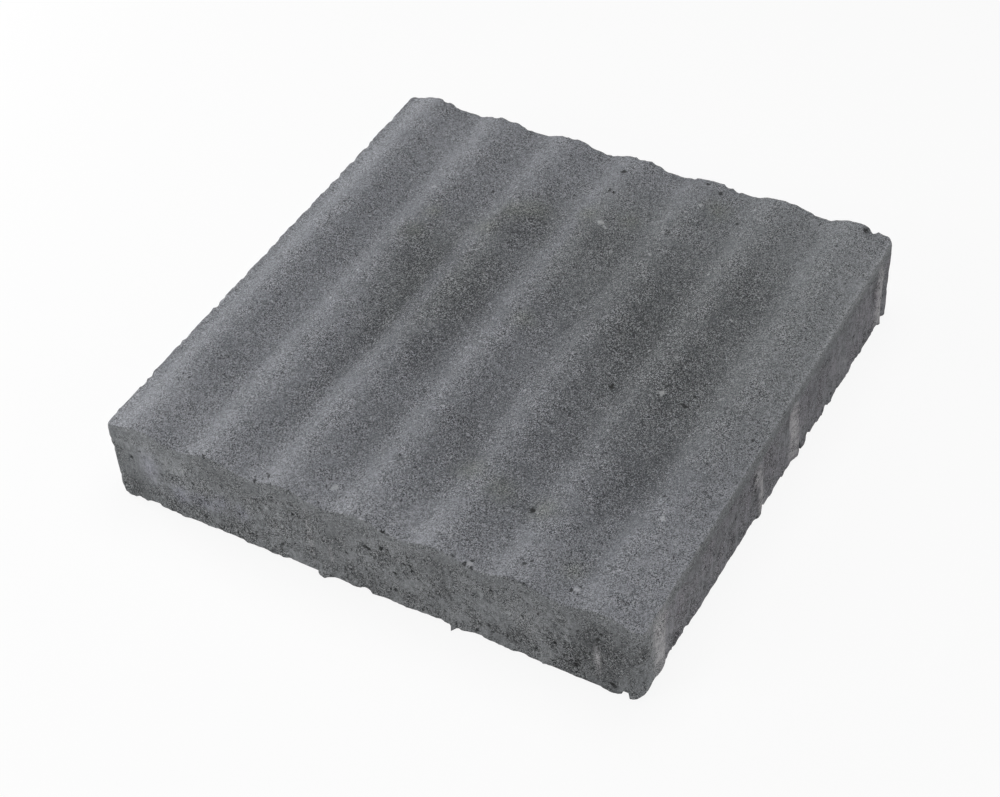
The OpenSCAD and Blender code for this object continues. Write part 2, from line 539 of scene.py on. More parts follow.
# %% Random dents
CRUMBS, PITS = 110, 420
LOWEST_PIT, PIT_SPAN = 2, 46
chance = np.random.default_rng(7)
loop_points = plain_points[loop]
crumb_places = loop_points[chance.integers(0, len(loop), CRUMBS)]
crumbs = dents(crumb_places, chance.uniform(1.6, 3.6, CRUMBS), chance.uniform(0.5, 1.5, CRUMBS))
pit_places = loop_points[chance.integers(0, len(loop), PITS)]
pit_places[:, 2] = PIT_SPAN * chance.uniform(0, 1, PITS) ** 0.9 + LOWEST_PIT
pits = dents(pit_places, chance.uniform(1.4, 3.4, PITS), chance.uniform(0.3, 1.3, PITS))
print("deepest crumb", crumbs.max().round(2), "deepest pit", pits.max().round(2))

# %% [markdown]
# ## Single hollows and pebbles
# A few hollows and pebbles catch the eye, so each has its own place in a list. Chance
# alone would put them elsewhere.

# %% Hollows and knobs that catch the eye
# On the face and along its rim: x, y, radius, depth. A knob is a hollow of negative depth.
FACE_MARKS = [
    (82, -124, 2.2, 1.6), (-62, -171, 1.3, 1.2), (-63, -169, 1.3, 1.2), (-64.5, -167, 1.2, 1.2),
    (-69, -174, 1.4, 1.2), (-66, -175, 1.2, 1.2), (-116, -173, 1.4, 1.2), (-104, -174.5, 1.6, 1.3),
    (-46, -174.5, 1.7, 1.5), (16, -174.5, 1.7, 1.5), (98, -162, 1.6, 1.2), (101, -159, 1.3, 1.2),
    (96, -160, 1.2, 1.2), (105, -175, 1.8, 1.4), (100, -175, 1.2, 1.3), (97.5, -175, 1.3, 1.3),
    (95, -175, 1.1, 1.2), (92, -175, 1.0, 1.2), (109, -175, 1.3, 1.2), (-75, 108, 1.5, 0.9),
    (-3, 137, 1.6, 1.0), (50, 171, 2.2, 1.6), (61, 166, 2.0, 1.2), (-23.5, -160, 1.5, 0.4),
    (-25.5, -158, 2.4, -0.9), (130, -163, 2.4, -1.0), (127, -164, 1.4, 1.2), (132, -165, 1.4, 1.2),
    (131, -160, 1.2, 1.2), (70, -173, 2.4, -1.0), (67.5, -174, 1.5, 1.3), (72, -175, 1.5, 1.3),
    (70, -170, 1.2, 1.2), (158, 172, 3.0, 1.8), (60, -174, 1.2, 1.2), (-28, -172, 1.0, 1.2),
    (140, -168, 1.2, 1.2), (118, -172, 1.2, 1.2), (6, 106, 2.4, -1.0), (9, 104, 1.6, -0.9),
    (22, 88, 1.5, -0.9), (50, 138, 1.4, -0.9), (55, 148, 1.7, -0.9), (50, 129, 1.3, -0.9),
    (47, 92, 1.3, -0.8), (71, 94, 1.5, -0.8), (116, 62, 1.6, -1.0), (107, -14, 2.2, -0.9),
    (92, 53, 1.6, -0.7), (102, 16, 1.3, -0.9), (93, -54, 1.2, -0.9), (140, -3, 2.0, -0.6),
    (84, 17, 1.3, -0.8), (-108, 92, 2.2, -0.6), (-52, 18, 1.4, -0.7), (-56, 21, 1.3, -0.6),
    (-26, 100, 1.4, -0.9), (-43, -22, 2.6, -0.3), (150, -101, 2.2, -1.0), (0, 136, 1.6, 1.4),
    (-4, 137, 1.3, 1.3), (-4, 158, 2.2, 1.2), (48, 116, 1.5, 1.2), (59, 64, 1.2, 1.2), (73, 81, 1.2, 1.2),
    (77, -18, 2.0, 1.4), (122, -14, 2.0, 1.4), (119, -13, 1.3, 1.3), (124, -5, 1.3, 1.2),
    (62, -49, 1.4, 1.2), (66, -50, 1.3, 1.2), (168, -22, 1.4, 1.2), (125, 6, 1.4, 1.2),
    (-74, 108, 1.6, 1.2), (82, 146, 1.4, 1.2),
]
# How far the sides lie from the middle, in whole millimetres.
SIDE = 175


def on_sides(front, right):
    """Rows of the front side start with x, rows of the right one with y. Adds the other."""
    return [(x, -SIDE, *rest) for x, *rest in front] + [(SIDE, y, *rest) for y, *rest in right]


# On the front and the right side: x or y, z, radius, depth.
FRONT_MARKS = [
    (-46, 51, 1.6, 0.8), (5, 39, 2.0, 1.6), (3, 40, 1.4, 1.2), (14, 44, 1.5, 1.2), (28, 37.5, 1.5, 1.2),
    (33, 33.5, 1.4, 1.5), (33.3, 35.5, 1.2, 1.5), (-11, 27.5, 1.6, 1.2), (-45, 42, 1.5, 1.2),
    (21, 26, 1.9, 1.4), (1.3, 19.5, 1.4, 1.2), (20, 11, 1.6, 1.2), (-111, 7.5, 1.7, 1.2),
    (-135, 2, 1.6, 0.8), (143, 27, 1.4, 1.4), (143, 24.5, 1.2, 1.4), (148.7, 40, 1.7, 1.3),
    (150.5, 45, 1.5, 1.2), (135, 10, 1.9, 1.4), (156, 7, 2.0, 1.6), (158, 6, 1.8, 1.2),
    (80, 14, 1.5, 1.2), (110, 9, 1.6, 1.2), (102, 33, 1.5, 1.2), (127, 14, 1.6, 1.2), (122, 22, 1.4, 1.2),
    (136, 19, 1.5, 1.2),
]
RIGHT_MARKS = [
    (-137, 10, 2.2, 1.2), (-100, 17, 1.6, 1.0), (-72, 32, 1.4, 1.2), (-33, 40, 2.0, 1.2),
    (-29, 37, 1.6, 0.8), (-5, 28, 1.5, 1.4), (107, 50, 1.9, 1.0), (144, 36, 2.4, 0.8),
    (148, 33, 2.0, 0.8),
]
MARKS = [(x, y, face_height(x) - 0.3, radius, depth) for x, y, radius, depth in FACE_MARKS]
MARKS += on_sides(FRONT_MARKS, RIGHT_MARKS)
mark_rows = np.array(MARKS, float)
marks = dents(mark_rows[:, :3], mark_rows[:, 3], np.maximum(mark_rows[:, 4], 0))
marks -= dents(mark_rows[:, :3], mark_rows[:, 3], np.maximum(-mark_rows[:, 4], 0))
print("marks from", marks.min().round(2), "to", marks.max().round(2), "mm deep")

# %% [markdown]
# ## Moving the points
# The walking face has gentle swells and a sandy skin. The sides have lumps, and upright
# streaks from the mould. At the foot of the sides concrete squeezed out under the
# mould and set as a thin flare, with a few longer burrs.

# %% Displacement
# Burrs at the foot of the sides: x, y, half width, reach.
BURRS = [
    (-28, -175, 3.5, 2.4), (58, -175, 1.6, 3.8), (60, -175, 4, 0.8), (-164, -175, 3, 1.0),
    (175, -164, 8, 3.0), (175, -102, 16, 2.4), (175, -175, 5, 3.5), (-90, -175, 60, 0.4),
    (110, -175, 30, 0.4),
]
face_relief = noise_sum(plain_points, (0.22, 34, 41), (0.12, 11, 42), (0.10, 3.4, 43))
side_relief = noise_sum(plain_points, (0.45, 24, 44), (0.30, 7, 45), (0.16, 3.0, 46),
                        (0.22, (5, 5, 40), 47), (0.14, (2.6, 2.6, 22), 48))
# The right side is smoother than the others.
side_relief *= 1 - 0.4 * (px > HALF - 1)
arris_relief = noise_sum(plain_points, (0.35, 5, 49), (0.25, 2.2, 50))
move = on_face * face_relief + on_side * side_relief * (0.45 + 0.55 * in_body)
# The left arris is worn more than the rest, most of all near its front end.
left_wear = (0.6 + 0.9 * np.exp(-((py + 150) / 9) ** 2)) * (px < 5 - HALF)
move += arris_near * (arris_relief - left_wear - crumbs) - pits * in_body - marks
flare = 1.0 + 0.4 * lattice_noise(plain_points, 9, 51) + 0.7 * lattice_noise(plain_points, 2.2, 52)
for x, y, wide, reach_out in BURRS:
    flare += reach_out * spot(x, y, wide)
foot = np.maximum(sliver(px, py), 0)
flare *= ramp(foot - pz, -6, -1) * (1 - 0.75 * ramp(foot, 0, 3)) * on_side
moved = plain_points + normals * (move * (1 - on_bed))[:, None]
moved[:, :2] += normals[:, :2] * flare[:, None]
moved[:, 2] = np.maximum(moved[:, 2], np.minimum(pz, 0))
skin.vertices.foreach_set("co", (moved * MM).astype(np.float32).ravel())
skin.update()
print("moved by", move.min().round(2), "to", move.max().round(2), "mm")

# %% [markdown]
# ## Stains and painted shade on the walking face
# Soft dark patches lie mostly on the right flanks of the ribs, which face away from the low
# lamp: they are partly damp and dirt and partly painted shade. Lighter patches are partly paler
# concrete and partly painted highlight, on the lit left flanks and near the edges. They are too
# soft to need a texture, so each point of the mesh keeps one number for the dark patches and one
# for the light ones, which the material reads.

# %% Patches on the face
# Patches on the face: x, y, half width, half length, strength. Light where negative.
# Dark: damp, dirt and painted shade on the right flanks. Light: paler concrete and painted highlight.
PATCHES = [
    (-37, 90, 13, 18, 0.75), (-87, 30, 11, 20, 0.5), (-72, -5, 7, 50, 0.75), (-78, -85, 6, 32, 0.5),
    (-100, 38, 7, 15, 0.4), (-52, 82, 6, 12, 0.4), (-33, 10, 10, 34, 0.7), (-35, -45, 10, 20, 0.55),
    (67, 45, 15, 48, 0.7), (83, 25, 6, 46, 0.7), (82, -72, 9, 12, 0.4), (113, 0, 15, 34, 0.65),
    (111, 76, 13, 32, 0.5), (128, -60, 10, 46, 0.6), (118, -92, 9, 24, 0.4), (17, -84, 10, 30, 0.4),
    (32, -95, 8, 30, 0.45), (67, -90, 14, 30, 0.3), (-27, -105, 12, 20, 0.25), (14, 98, 18, 16, 0.35),
    (32, 85, 9, 26, 0.4), (10, 30, 16, 30, 0.1), (50, 10, 110, 100, 0.3), (-70, 40, 60, 60, 0.12),
    (164, -110, 14, 50, -0.4), (162, 0, 12, 60, -0.3), (165, 120, 10, 50, -0.35),
    (-142, -140, 14, 20, -0.3), (0, -167, 170, 14, -0.38), (-110, 130, 60, 40, -0.2),
    (-73, -38, 7, 18, 0.4), (-70, 30, 12, 14, 0.3), (-50, 5, 9, 11, 0.3), (-42, 76, 17, 10, 0.3),
    (0, 88, 18, 11, 0.25), (32, 32, 8, 15, 0.3), (78, 40, 10, 24, 0.3), (75, -20, 11, 32, 0.2),
    (101, -35, 11, 24, 0.3), (92, -68, 22, 11, 0.2), (127, -80, 13, 22, 0.3), (127, 72, 12, 24, 0.25),
    (137, -5, 6, 20, 0.2), (-102, 48, 9, 8, 0.2), (-103, -71, 9, 8, 0.2), (-77, -113, 6, 14, 0.2),
    (83, -126, 9, 9, 0.25), (125, -148, 14, 9, 0.12), (-163, -55, 12, 42, 0.12), (-15, 30, 13, 17, -0.12),
    (-9, -32, 12, 24, -0.16), (23, -18, 6, 8, -0.15), (6, 106, 4, 4, -0.4), (-64, 60, 11, 9, -0.2),
    (-122, -133, 10, 25, -0.16), (103, -150, 12, 16, -0.2), (162, -132, 13, 28, -0.2),
    (151, 76, 7, 50, -0.12), (-18, 136, 22, 12, -0.12), (37, -65, 6, 14, -0.12), (98, 10, 50, 110, 0.35),
    (-55, 15, 28, 75, 0.35), (-75, -34, 8, 18, 0.35), (-60, -14, 8, 8, 0.25), (-40, 78, 14, 10, 0.2),
    (32, 80, 14, 60, 0.25), (76, 30, 8, 14, 0.3), (-74, 32, 8, 12, 0.2), (122, 88, 10, 12, 0.25),
    (0, 168, 175, 12, -0.22), (-160, 158, 20, 16, -0.15), (163, -150, 12, 30, -0.22),
    (-145, -152, 25, 16, -0.16), (163, 150, 12, 24, -0.15), (0, -150, 60, 10, -0.08),
    (150, -101, 2, 2, -0.9), (-75, -25, 7, 22, 0.4), (-75, -48, 5, 8, 0.3), (-33, 77, 8, 10, 0.4),
    (-52, 80, 5, 14, 0.25), (82, 60, 6, 16, 0.3), (74, 28, 8, 12, 0.3), (55, 80, 22, 14, 0.15),
    (62, 100, 20, 4, 0.15), (25, -112, 6, 16, 0.25), (38, -122, 8, 8, 0.2), (20, -85, 8, 14, 0.15),
    (-98, 78, 6, 14, 0.25), (-100, 45, 10, 8, 0.15), (115, -32, 10, 18, 0.2), (118, -88, 8, 14, 0.25),
    (135, -70, 6, 16, 0.15), (-40, 118, 7, 10, 0.15), (-42, 10, 8, 10, 0.2), (-15, 138, 10, 10, -0.12),
    (112, -145, 10, 10, -0.2), (-138, -145, 10, 14, -0.12), (5, -10, 18, 20, -0.1),
    (25, -22, 6, 8, -0.12), (-130, 140, 14, 25, -0.12), (93, 92, 3, 28, -0.2), (147, 40, 3, 18, -0.15),
    (-42, 90, 3, 16, -0.2), (-76, 5, 8, 45, 0.25), (77, 5, 10, 45, 0.25), (-35, 0, 8, 40, 0.15),
    (106, 10, 8, 40, 0.12), (-167, 110, 8, 45, -0.15),
]
dark, lighter_and_highlit = np.ones(count), np.zeros(count)
for x, y, wide, long, strength in PATCHES:
    share = np.exp(-(((px - x) / wide) ** 2 + ((py - y) / long) ** 2))
    dark *= 1 - max(strength, 0) * share
    lighter_and_highlit += max(-strength, 0) * share
damp_and_shade = (1 - dark) * on_face
print("damp on the face: mean", round(float(damp_and_shade[on_face > 0.5].mean()), 2))

# %% [markdown]
# ## Stains, painted light and painted shade on the sides
# The sides have the same two kinds of patch, stains mixed with painted light and shade, only
# smaller and in three directions. One number, the contrast, makes all of them stronger or
# weaker together.

# %% Patches on the sides
SIDE_CONTRAST = 1.4
# Patches on the front and the right side: x or y, z, half width, half height, strength.
# The lighter bands along the foot and the top edge of each side are painted light. The other patches are
# partly stains and partly painted light and shade.
FRONT_PATCHES = [
    (-160, 12, 10, 12, 0.6), (142, 35, 8, 16, 0.6), (155, 25, 6, 25, 0.6), (135, 8, 12, 8, 0.35),
    (0, 12, 14, 8, 0.25), (90, 12, 10, 8, 0.25), (-148, 31, 5, 11, -0.6), (-125, 40, 8, 8, -0.3),
    (39, 21, 3, 6, -0.8), (59, 11, 4, 8, -0.5), (72, 14, 12, 10, -0.3), (105, 32, 10, 10, -0.35),
    (129, 31, 1.5, 8, -0.5), (34, 31, 2, 4, -0.4), (19, 46, 3, 7, -0.3), (-12, 23, 5, 3, -0.4),
    (-55, 25, 4, 7, -0.25), (5, 26, 6, 6, -0.25), (-171, 39, 6, 6, 0.35), (-98, 50, 10, 8, 0.25),
    (-78, 37, 8, 6, 0.2), (-48, 52, 14, 5, 0.15), (-8, 51, 16, 6, 0.2), (-27, 27, 8, 6, 0.25),
    (-14, 34, 4, 4, 0.2), (0, 16, 5, 4, 0.2), (49, 49, 10, 7, 0.4), (55, 28, 5, 10, 0.3),
    (145, 28, 5, 7, 0.35), (164, 28, 10, 18, 0.15), (-90, 32, 3, 8, -0.25), (-125, 22, 5, 5, -0.2),
    (17, 15, 6, 9, -0.2), (33, 10, 5, 5, -0.35), (100, 31, 9, 5, -0.3), (106, 20, 4, 6, -0.25),
    (119, 10, 7, 6, -0.25), (130, 42, 6, 6, -0.15), (-172, 35, 4, 14, 0.45), (-97, 45, 12, 10, 0.25),
    (-72, 44, 12, 9, 0.25), (-18, 40, 7, 9, 0.3), (-17, 32, 5, 6, 0.2), (40, 42, 9, 7, 0.3),
    (147, 26, 6, 7, 0.35), (155, 37, 5, 8, 0.4), (-165, 4, 8, 5, 0.3), (0, 3, 175, 4, -0.14),
    (118, 6, 24, 7, -0.3), (-81, 9, 8, 8, -0.28), (-56, 25, 7, 6, -0.3), (35, 4, 9, 6, -0.25),
    (10, 12, 9, 6, -0.22), (-109, 28, 5, 6, -0.18), (-88, 20, 5, 6, -0.2), (-130, 22, 5, 5, -0.18),
    (126, 32, 5, 5, -0.22), (94, 33, 6, 6, -0.22), (110, 26, 6, 6, -0.2), (-151, 45, 8, 6, -0.16),
    (70, 42, 7, 6, -0.15), (24, 48, 6, 5, -0.2), (120, 60, 60, 4, -0.15), (-150, 60, 25, 4, -0.15),
    (-56, 4, 12, 4, -0.15), (-160, 32, 14, 10, 0.15), (-150, 27, 5, 6, 0.12), (-88, 57, 14, 6, 0.14),
    (-18, 26, 8, 10, 0.14), (-53, 48, 6, 6, 0.12), (160, 22, 10, 20, 0.15), (166, 40, 6, 12, 0.1),
    (38, 25, 5, 6, 0.15), (-60, 16, 4, 4, 0.2), (60, 10, 6, 8, 0.12), (107, 22, 12, 12, -0.25),
    (130, 14, 10, 8, -0.25), (120, 50, 20, 8, -0.1), (28, 46, 6, 6, -0.2), (-109, 28, 5, 6, -0.2),
    (-88, 20, 6, 8, -0.2), (-57, 28, 5, 5, -0.2), (35, 4, 6, 4, -0.25), (0, 3, 5, 3, -0.25),
    (-74, 10, 16, 6, -0.1),
]
RIGHT_PATCHES = [
    (-90, 45, 40, 12, 0.2), (-31, 32, 5, 16, 0.4), (147, 34, 5, 12, 0.4), (14, 44, 4, 7, 0.25),
    (31, 47, 3, 4, 0.25), (-171, 56, 5, 6, -0.3), (16, 42, 5, 7, 0.35), (49, 33, 7, 5, 0.2),
    (-107, 49, 14, 7, 0.3), (147, 35, 2.5, 8, 0.6), (169, 22, 4, 4, 0.3), (145, 58, 30, 5, -0.45),
    (112, 59, 14, 4, -0.2), (135, 31, 10, 9, -0.2), (35, 21, 5, 7, -0.3), (-137, 19, 7, 6, -0.28),
    (60, 8, 110, 8, -0.15), (90, 22, 60, 14, -0.1), (105, 12, 9, 7, -0.15), (-130, 30, 30, 14, -0.1),
    (26, 47, 4, 5, -0.2), (-152, 8, 14, 8, -0.35), (-158, 42, 8, 7, -0.2), (-172, 55, 3, 5, -0.2),
    (-172, 10, 3, 4, -0.3), (-75, 42, 20, 8, 0.1), (-116, 47, 14, 8, 0.1), (24, 53, 16, 4, 0.12),
    (55, 26, 14, 14, 0.06), (116, 42, 14, 8, 0.08), (150, 10, 12, 8, -0.2), (168, 32, 5, 12, 0.1),
    (90, 30, 10, 10, 0.08),
]
for x, y, z, wide, tall, strength in on_sides(FRONT_PATCHES, RIGHT_PATCHES):
    strength *= SIDE_CONTRAST
    share = spot(x, y, wide, z, tall) * on_side
    damp_and_shade += max(strength, 0) * share
    lighter_and_highlit += max(-strength, 0) * share
# The left arris holds dirt. Every arris gets a faint painted highlight, the right one a strong one.
damp_and_shade += 0.45 * arris_near * (px < 3 - HALF)
right_arris = arris_near * (px > HALF - 6)
lighter_and_highlit += 0.2 * arris_near + (0.35 + 0.65 * ramp(py, 20, 90)) * right_arris
print("damp on the sides: mean", round(float(damp_and_shade[on_side > 0.5].mean()), 2))

# %% [markdown]
# ## Painted highlights on the nibs
# The nibs stand proud of the sides, and the flank of each that faces the lamps catches light,
# so the pale streaks on their highest parts are painted highlights. Painting whole nibs light
# would be simpler, but the light only reaches their highest parts.

# %% Streaks on the nibs
# Painted highlights on the nibs: x or y, z, half width, half height, strength.
FRONT_STREAKS = [
    (147.5, 21, 1.7, 11, 0.9), (-35.5, 28, 1.1, 20, 0.5), (-22, 21, 1.1, 9, 0.4),
]
RIGHT_STREAKS = [
    (-156, 42, 7.5, 12, 1.0), (-156, 20, 6.5, 14, 0.85), (-30, 38, 3.5, 8, 0.7),
    (-25, 24, 3.5, 12, 0.9), (-23, 10, 4.5, 8, 0.7), (21, 40, 5, 10, 0.8), (23, 27, 4, 12, 0.9),
    (24, 14, 6, 10, 0.7), (154, 38, 4, 12, 1.0), (155, 15, 5, 16, 1.0), (-25, 10, 4, 10, 0.8),
]
nib_highlight = np.zeros(count)
for x, y, z, wide, tall, strength in on_sides(FRONT_STREAKS, RIGHT_STREAKS):
    near = np.exp(-(((px - x) ** 2 + (py - y) ** 2) / wide ** 2) ** 2 - np.abs((pz - z) / tall) ** 3)
    nib_highlight = np.maximum(nib_highlight, strength * near)
# On the left and back sides whole nibs are painted pale as well.
left_or_back = (px < 5 - HALF) | (py > HALF - 5)
nib_highlight = np.maximum(nib_highlight, 0.8 * nib_share(px, py, pz) * left_or_back) * on_side
print("points on rubbed nibs:", int((nib_highlight > 0.5).sum()))

# %% [markdown]
# ## Open and closed concrete
# The body of the slab is coarse. Where it was short of cement it stayed open and full of
# pits, and where it had cement to spare the mould left it closed and smooth. The sand
# shows most in the open places and least under a smear of cement.

# %% Open zones, smears and sand
# Zones short of cement, open and full of pits: x or y, z, half width, half height, strength.
# Zones of negative strength have cement to spare and are smooth.
FRONT_ZONES = [
    (133, 17, 15, 14, 1.0), (150, 41, 6, 9, 1.0), (50, 25, 8, 10, 0.6), (8, 36, 9, 9, 0.7),
    (95, 12, 17, 6, 0.7), (3, 12, 7, 8, 0.7), (-84, 10, 18, 8, 0.8), (-11, 11, 12, 9, 0.8),
    (-47, 38, 8, 12, 0.5), (-128, 7, 22, 5, 0.6), (28, 9, 16, 6, 0.5), (14, 39, 12, 8, 0.6),
    (30, 35, 7, 7, 0.6), (151, 34, 6, 8, 0.9), (-157, 28, 20, 24, -1.0), (-118, 42, 10, 8, -0.6),
    (75, 32, 8, 14, -0.6), (166, 22, 7, 16, -0.5), (95, 26, 10, 6, -0.5),
]
RIGHT_ZONES = [
    (-120, 22, 14, 12, 0.6), (-34, 36, 6, 10, 0.7), (60, 36, 45, 20, -0.6), (120, 36, 45, 20, -0.6),
    (-75, 42, 40, 12, -0.4),
]
open_zone = 0.4 * ramp(lattice_noise(plain_points, (9, 9, 14), 61), 0.1, 0.5)
closed_zone = np.zeros(count)
for x, y, z, wide, tall, strength in on_sides(FRONT_ZONES, RIGHT_ZONES):
    share = spot(x, y, wide, z, tall)
    open_zone = np.maximum(open_zone, strength * share)
    closed_zone = np.maximum(closed_zone, -strength * share)
open_zone = np.minimum(1.3 * open_zone, 1) * in_body
open_zone *= ramp(0.75 + lattice_noise(plain_points, (4, 4, 6), 62), 0.1, 0.7)

# The flanks that face left, toward the low lamp, are smoother than the rest.
lamp_facing = ramp(-normals[:, 0] + 0.05 * lattice_noise(plain_points, 9, 53), 0.06, 0.3) * on_face
skirt = on_side * (1 - in_body)
uneven = 0.5 + 0.5 * lattice_noise(plain_points, (7, 7, 11), 63)
blotchy = noise_sum(plain_points, (1, 9, 64), (0.6, 4, 65))
# On the face the sand's colour is painted weaker on flanks that face the low lamp and stronger in the
# dark patches, as painted light: grains cast little shade under head-on light, more under grazing.
sandy = on_face * (1 - 0.2 * lamp_facing + 0.2 * damp_and_shade) * (0.95 + 0.4 * blotchy) + skirt
# The right side shows less sand than the others.
sandy += in_body * (0.5 + uneven + 0.6 * open_zone) * np.where(px < HALF - 1, 1.3, 1.0)
sandy *= 1 - 0.6 * closed_zone
# Smears of cement on the sides. They fade in between these two values of the field.
SMEAR_START, SMEAR_FULL = 0.22, 0.32
smeared = noise_sum(plain_points, (1, (5, 5, 4), 66), (0.6, (2.4, 2.4, 3), 67))
smeared += 0.3 * closed_zone - 0.4 * open_zone
smeared = smeared * on_side + on_side - 1
smear_share = (smeared > SMEAR_START).sum() / (on_side > 0.5).sum()
print("share of the sides under smears:", round(float(smear_share), 2))

# %% [markdown]
# ## Traces of colour
# Concrete is grey, but never quite neutral. Parts of this face lean to violet, the body
# of the right side to pink, and a few spots to green, which may be algae. The flanks that face
# the low lamp get a violet painted sheen. Three more materials could do it, but a tint that
# multiplies the one colour blends without seams.

# %% Tint
# Cement paste varies in tint: x, y, half width, half length of the less violet parts.
NEUTRAL = [(120, 70, 90, 130), (-62, 20, 35, 60), (20, 90, 50, 60)]
violet_and_sheen = on_face.copy()
for x, y, wide, long in NEUTRAL:
    violet_and_sheen *= 1 - np.exp(-(((px - x) / wide) ** 2 + ((py - y) / long) ** 2) ** 2)
# A violet painted sheen on the flanks that face the low lamp, over the left part of the face.
violet_and_sheen = np.maximum(violet_and_sheen, 0.9 * lamp_facing * ramp(-px, -50, 0))
# Violet smears on the front side: x, z, half width, half height.
VIOLET_SMEARS = [(-147, 33, 6, 12), (-128, 18, 6, 8), (-110, 20, 13, 6), (-97, 27, 5, 5), (-83, 24, 5, 6)]
for x, z, wide, tall in VIOLET_SMEARS:
    violet_and_sheen += 2.0 * np.exp(-((px - x) / wide) ** 2 - ((pz - z) / tall) ** 2) * in_body * (py < 0)
pink = in_body * (px > HALF - 2) * (1 - nib_highlight) * (0.5 + uneven) * ramp(py, -162, -148)
# Traces of green: x, y, radius.
GREEN = [(-50, 92, 9), (-58, 72, 8), (-38, 102, 9), (-6, 111, 7), (-97, 48, 8), (-96, 70, 6), (5, 7, 7),
         (37, -113, 8), (60, -120, 9), (88, -122, 8), (122, -152, 6), (20, 119, 6), (66, 152, 8)]
green = sum(spot(x, y, radius) for x, y, radius in GREEN) * on_face
violet_and_sheen *= 1 - 0.6 * np.clip(green, 0, 1)
tint = np.ones((count, 4))
tint[:, :3] += violet_and_sheen[:, None] * (0.006, -0.001, 0.038) + pink[:, None] * (0.036, -0.008, 0.025)
tint[:, :3] += green[:, None] * (0.005, 0.012, -0.05)
print("tint from", tint[:, :3].min(axis=0).round(3), "to", tint[:, :3].max(axis=0).round(3))

# %% [markdown]
# ## Handing the numbers to the material
# A material can't read Python's variables, but it can read attributes of the mesh. Each
# field becomes one, with one value for each point.

# %% Attributes on the mesh
fields = {"damp_and_shade": np.clip(damp_and_shade, 0, 1), "pale_and_highlit": np.clip(lighter_and_highlit, 0, 1), "nib_highlight": nib_highlight,
          "body": in_body, "skirt": skirt, "open_zone": open_zone, "sandy": sandy, "smeared": smeared,
          "crumbly": arris_near * (1 - on_bed) * (1 - 0.8 * right_arris)}
for name, values in fields.items():
    skin.attributes.new(name, "FLOAT", "POINT").data.foreach_set("value", values.astype(np.float32))
tint_values = skin.attributes.new("tint", "FLOAT_COLOR", "POINT").data
tint_values.foreach_set("color", tint.astype(np.float32).ravel())
print("means:", {name: round(float(values.mean()), 3) for name, values in fields.items()})

# %% [markdown]
# ## What pressed concrete is made of
# The real material is grey cement with quartz sand, pressed damp, so it is matt and
# open: no gloss, but a salt and pepper of light grains and dark gaps between them. A
# scanned picture of concrete could be wrapped round it, but would repeat and smear at
# the arris. Noise in three directions runs on round every edge. Each texture below has
# the width of a real lump, grain or pore, and the layers of colour go on like paint.

# %% What the concrete is made of
# One grain of fine sand is 0.2 to 0.5 mm wide. Only the coarse end of that shows here.
SAND = 0.47
# Other textures: width of a lump in mm, detail, and how much x, y and z are squeezed.
TEXTURES = {
    "pores": (1.5, 2.0, (1, 1, 0.8)),
    "coarse": (2.4, 3.0, (1, 1, 0.8)),
    "lumps": (5.0, 2.0, (1, 1, 1)),
    "paste": (5.0, 3.0, (1, 1, 0.5)),
    "drag": (1.6, 2.0, (1, 1, 0.15)),
    "mottle": (12.0, 3.0, (1, 1, 1)),
    "clouds": (60.0, 2.0, (1, 1, 1)),
}
# Single pale grains and single holes: how far apart they lie, in mm.
DOTS = {"flecks": 13.0, "gaps": 10.0}
# Dots and hollows are pushed out of round by up to half of this, in mm.
WARP = 3
# How far the bumps reach in mm, and the depth from which a hollow gets painted shade inside.
GRAIN_BUMP, LUMP_BUMP, SHADED_HOLLOW_DEPTH = 0.25, 0.9, 1.2
